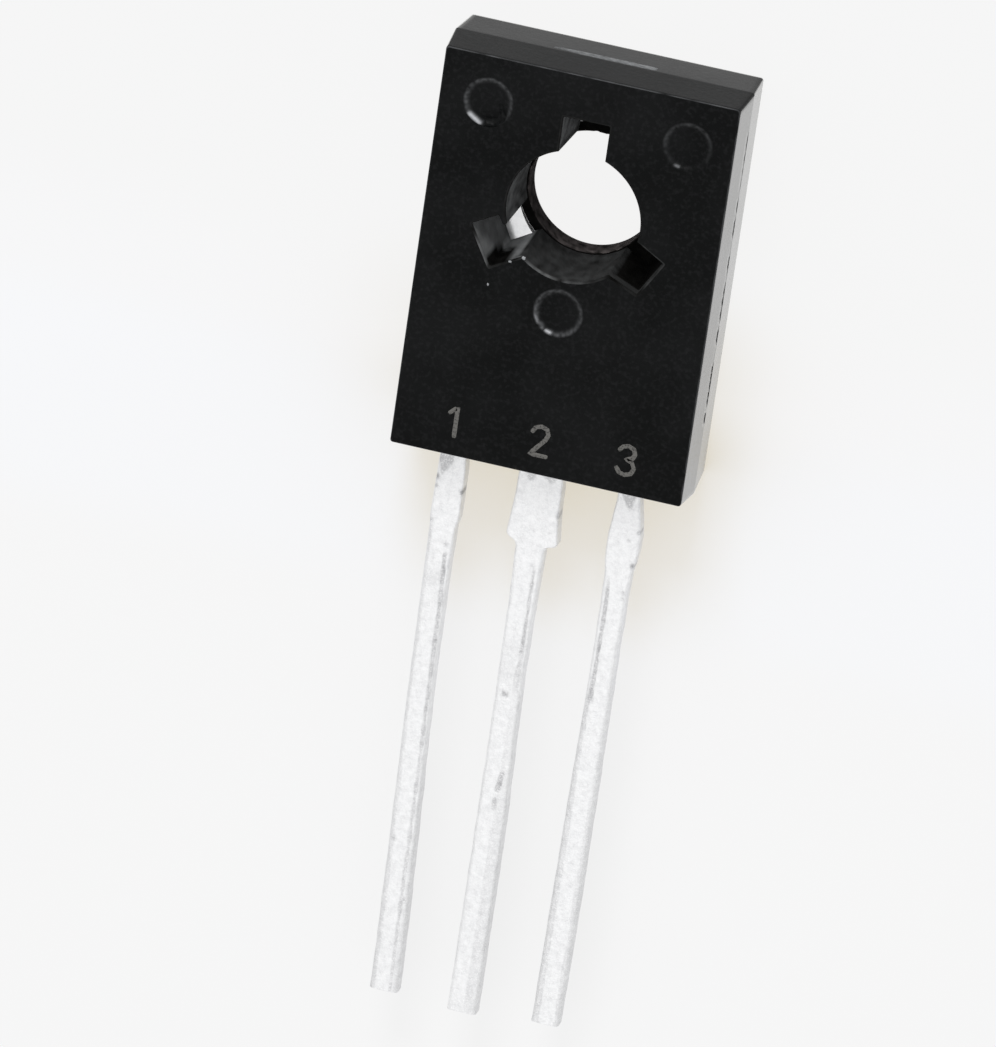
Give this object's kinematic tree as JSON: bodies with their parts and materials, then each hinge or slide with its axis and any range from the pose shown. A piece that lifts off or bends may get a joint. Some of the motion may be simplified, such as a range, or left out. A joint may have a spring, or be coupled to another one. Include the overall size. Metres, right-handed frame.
{
  "type": "power transistor",
  "caption": "Flat power transistor in a black moulded body with a notched screw hole, a bare heat-spreader back and tinned leads in line.",
  "frame": {"origin": "screw hole's axis at the mounting face, the back of the body", "axes": "+Z out of the front face along the screw hole, +Y towards the end with the hole, +X to the right seen from the front; the leads run along -Y"},
  "size_m": [0.0076, 0.0261, 0.0025],
  "materials": {
    "epoxy": "fine matte black moulding compound, smoother inside the pin marks",
    "tinned_copper": "hot-dipped tin over copper alloy, satin and slightly lumpy",
    "silicon": "polished silicon",
    "solder": "dull grey soft solder",
    "bond_wire": "drawn aluminium wire"
  },
  "bodies": {
    "root": {"moulded_body": "epoxy", "collector_frame": "tinned_copper", "emitter_lead": "tinned_copper", "base_lead": "tinned_copper", "chip": "silicon", "chip_solder": "solder", "emitter_wire": "bond_wire", "base_wire": "bond_wire"}
  },
  "joints": []
}
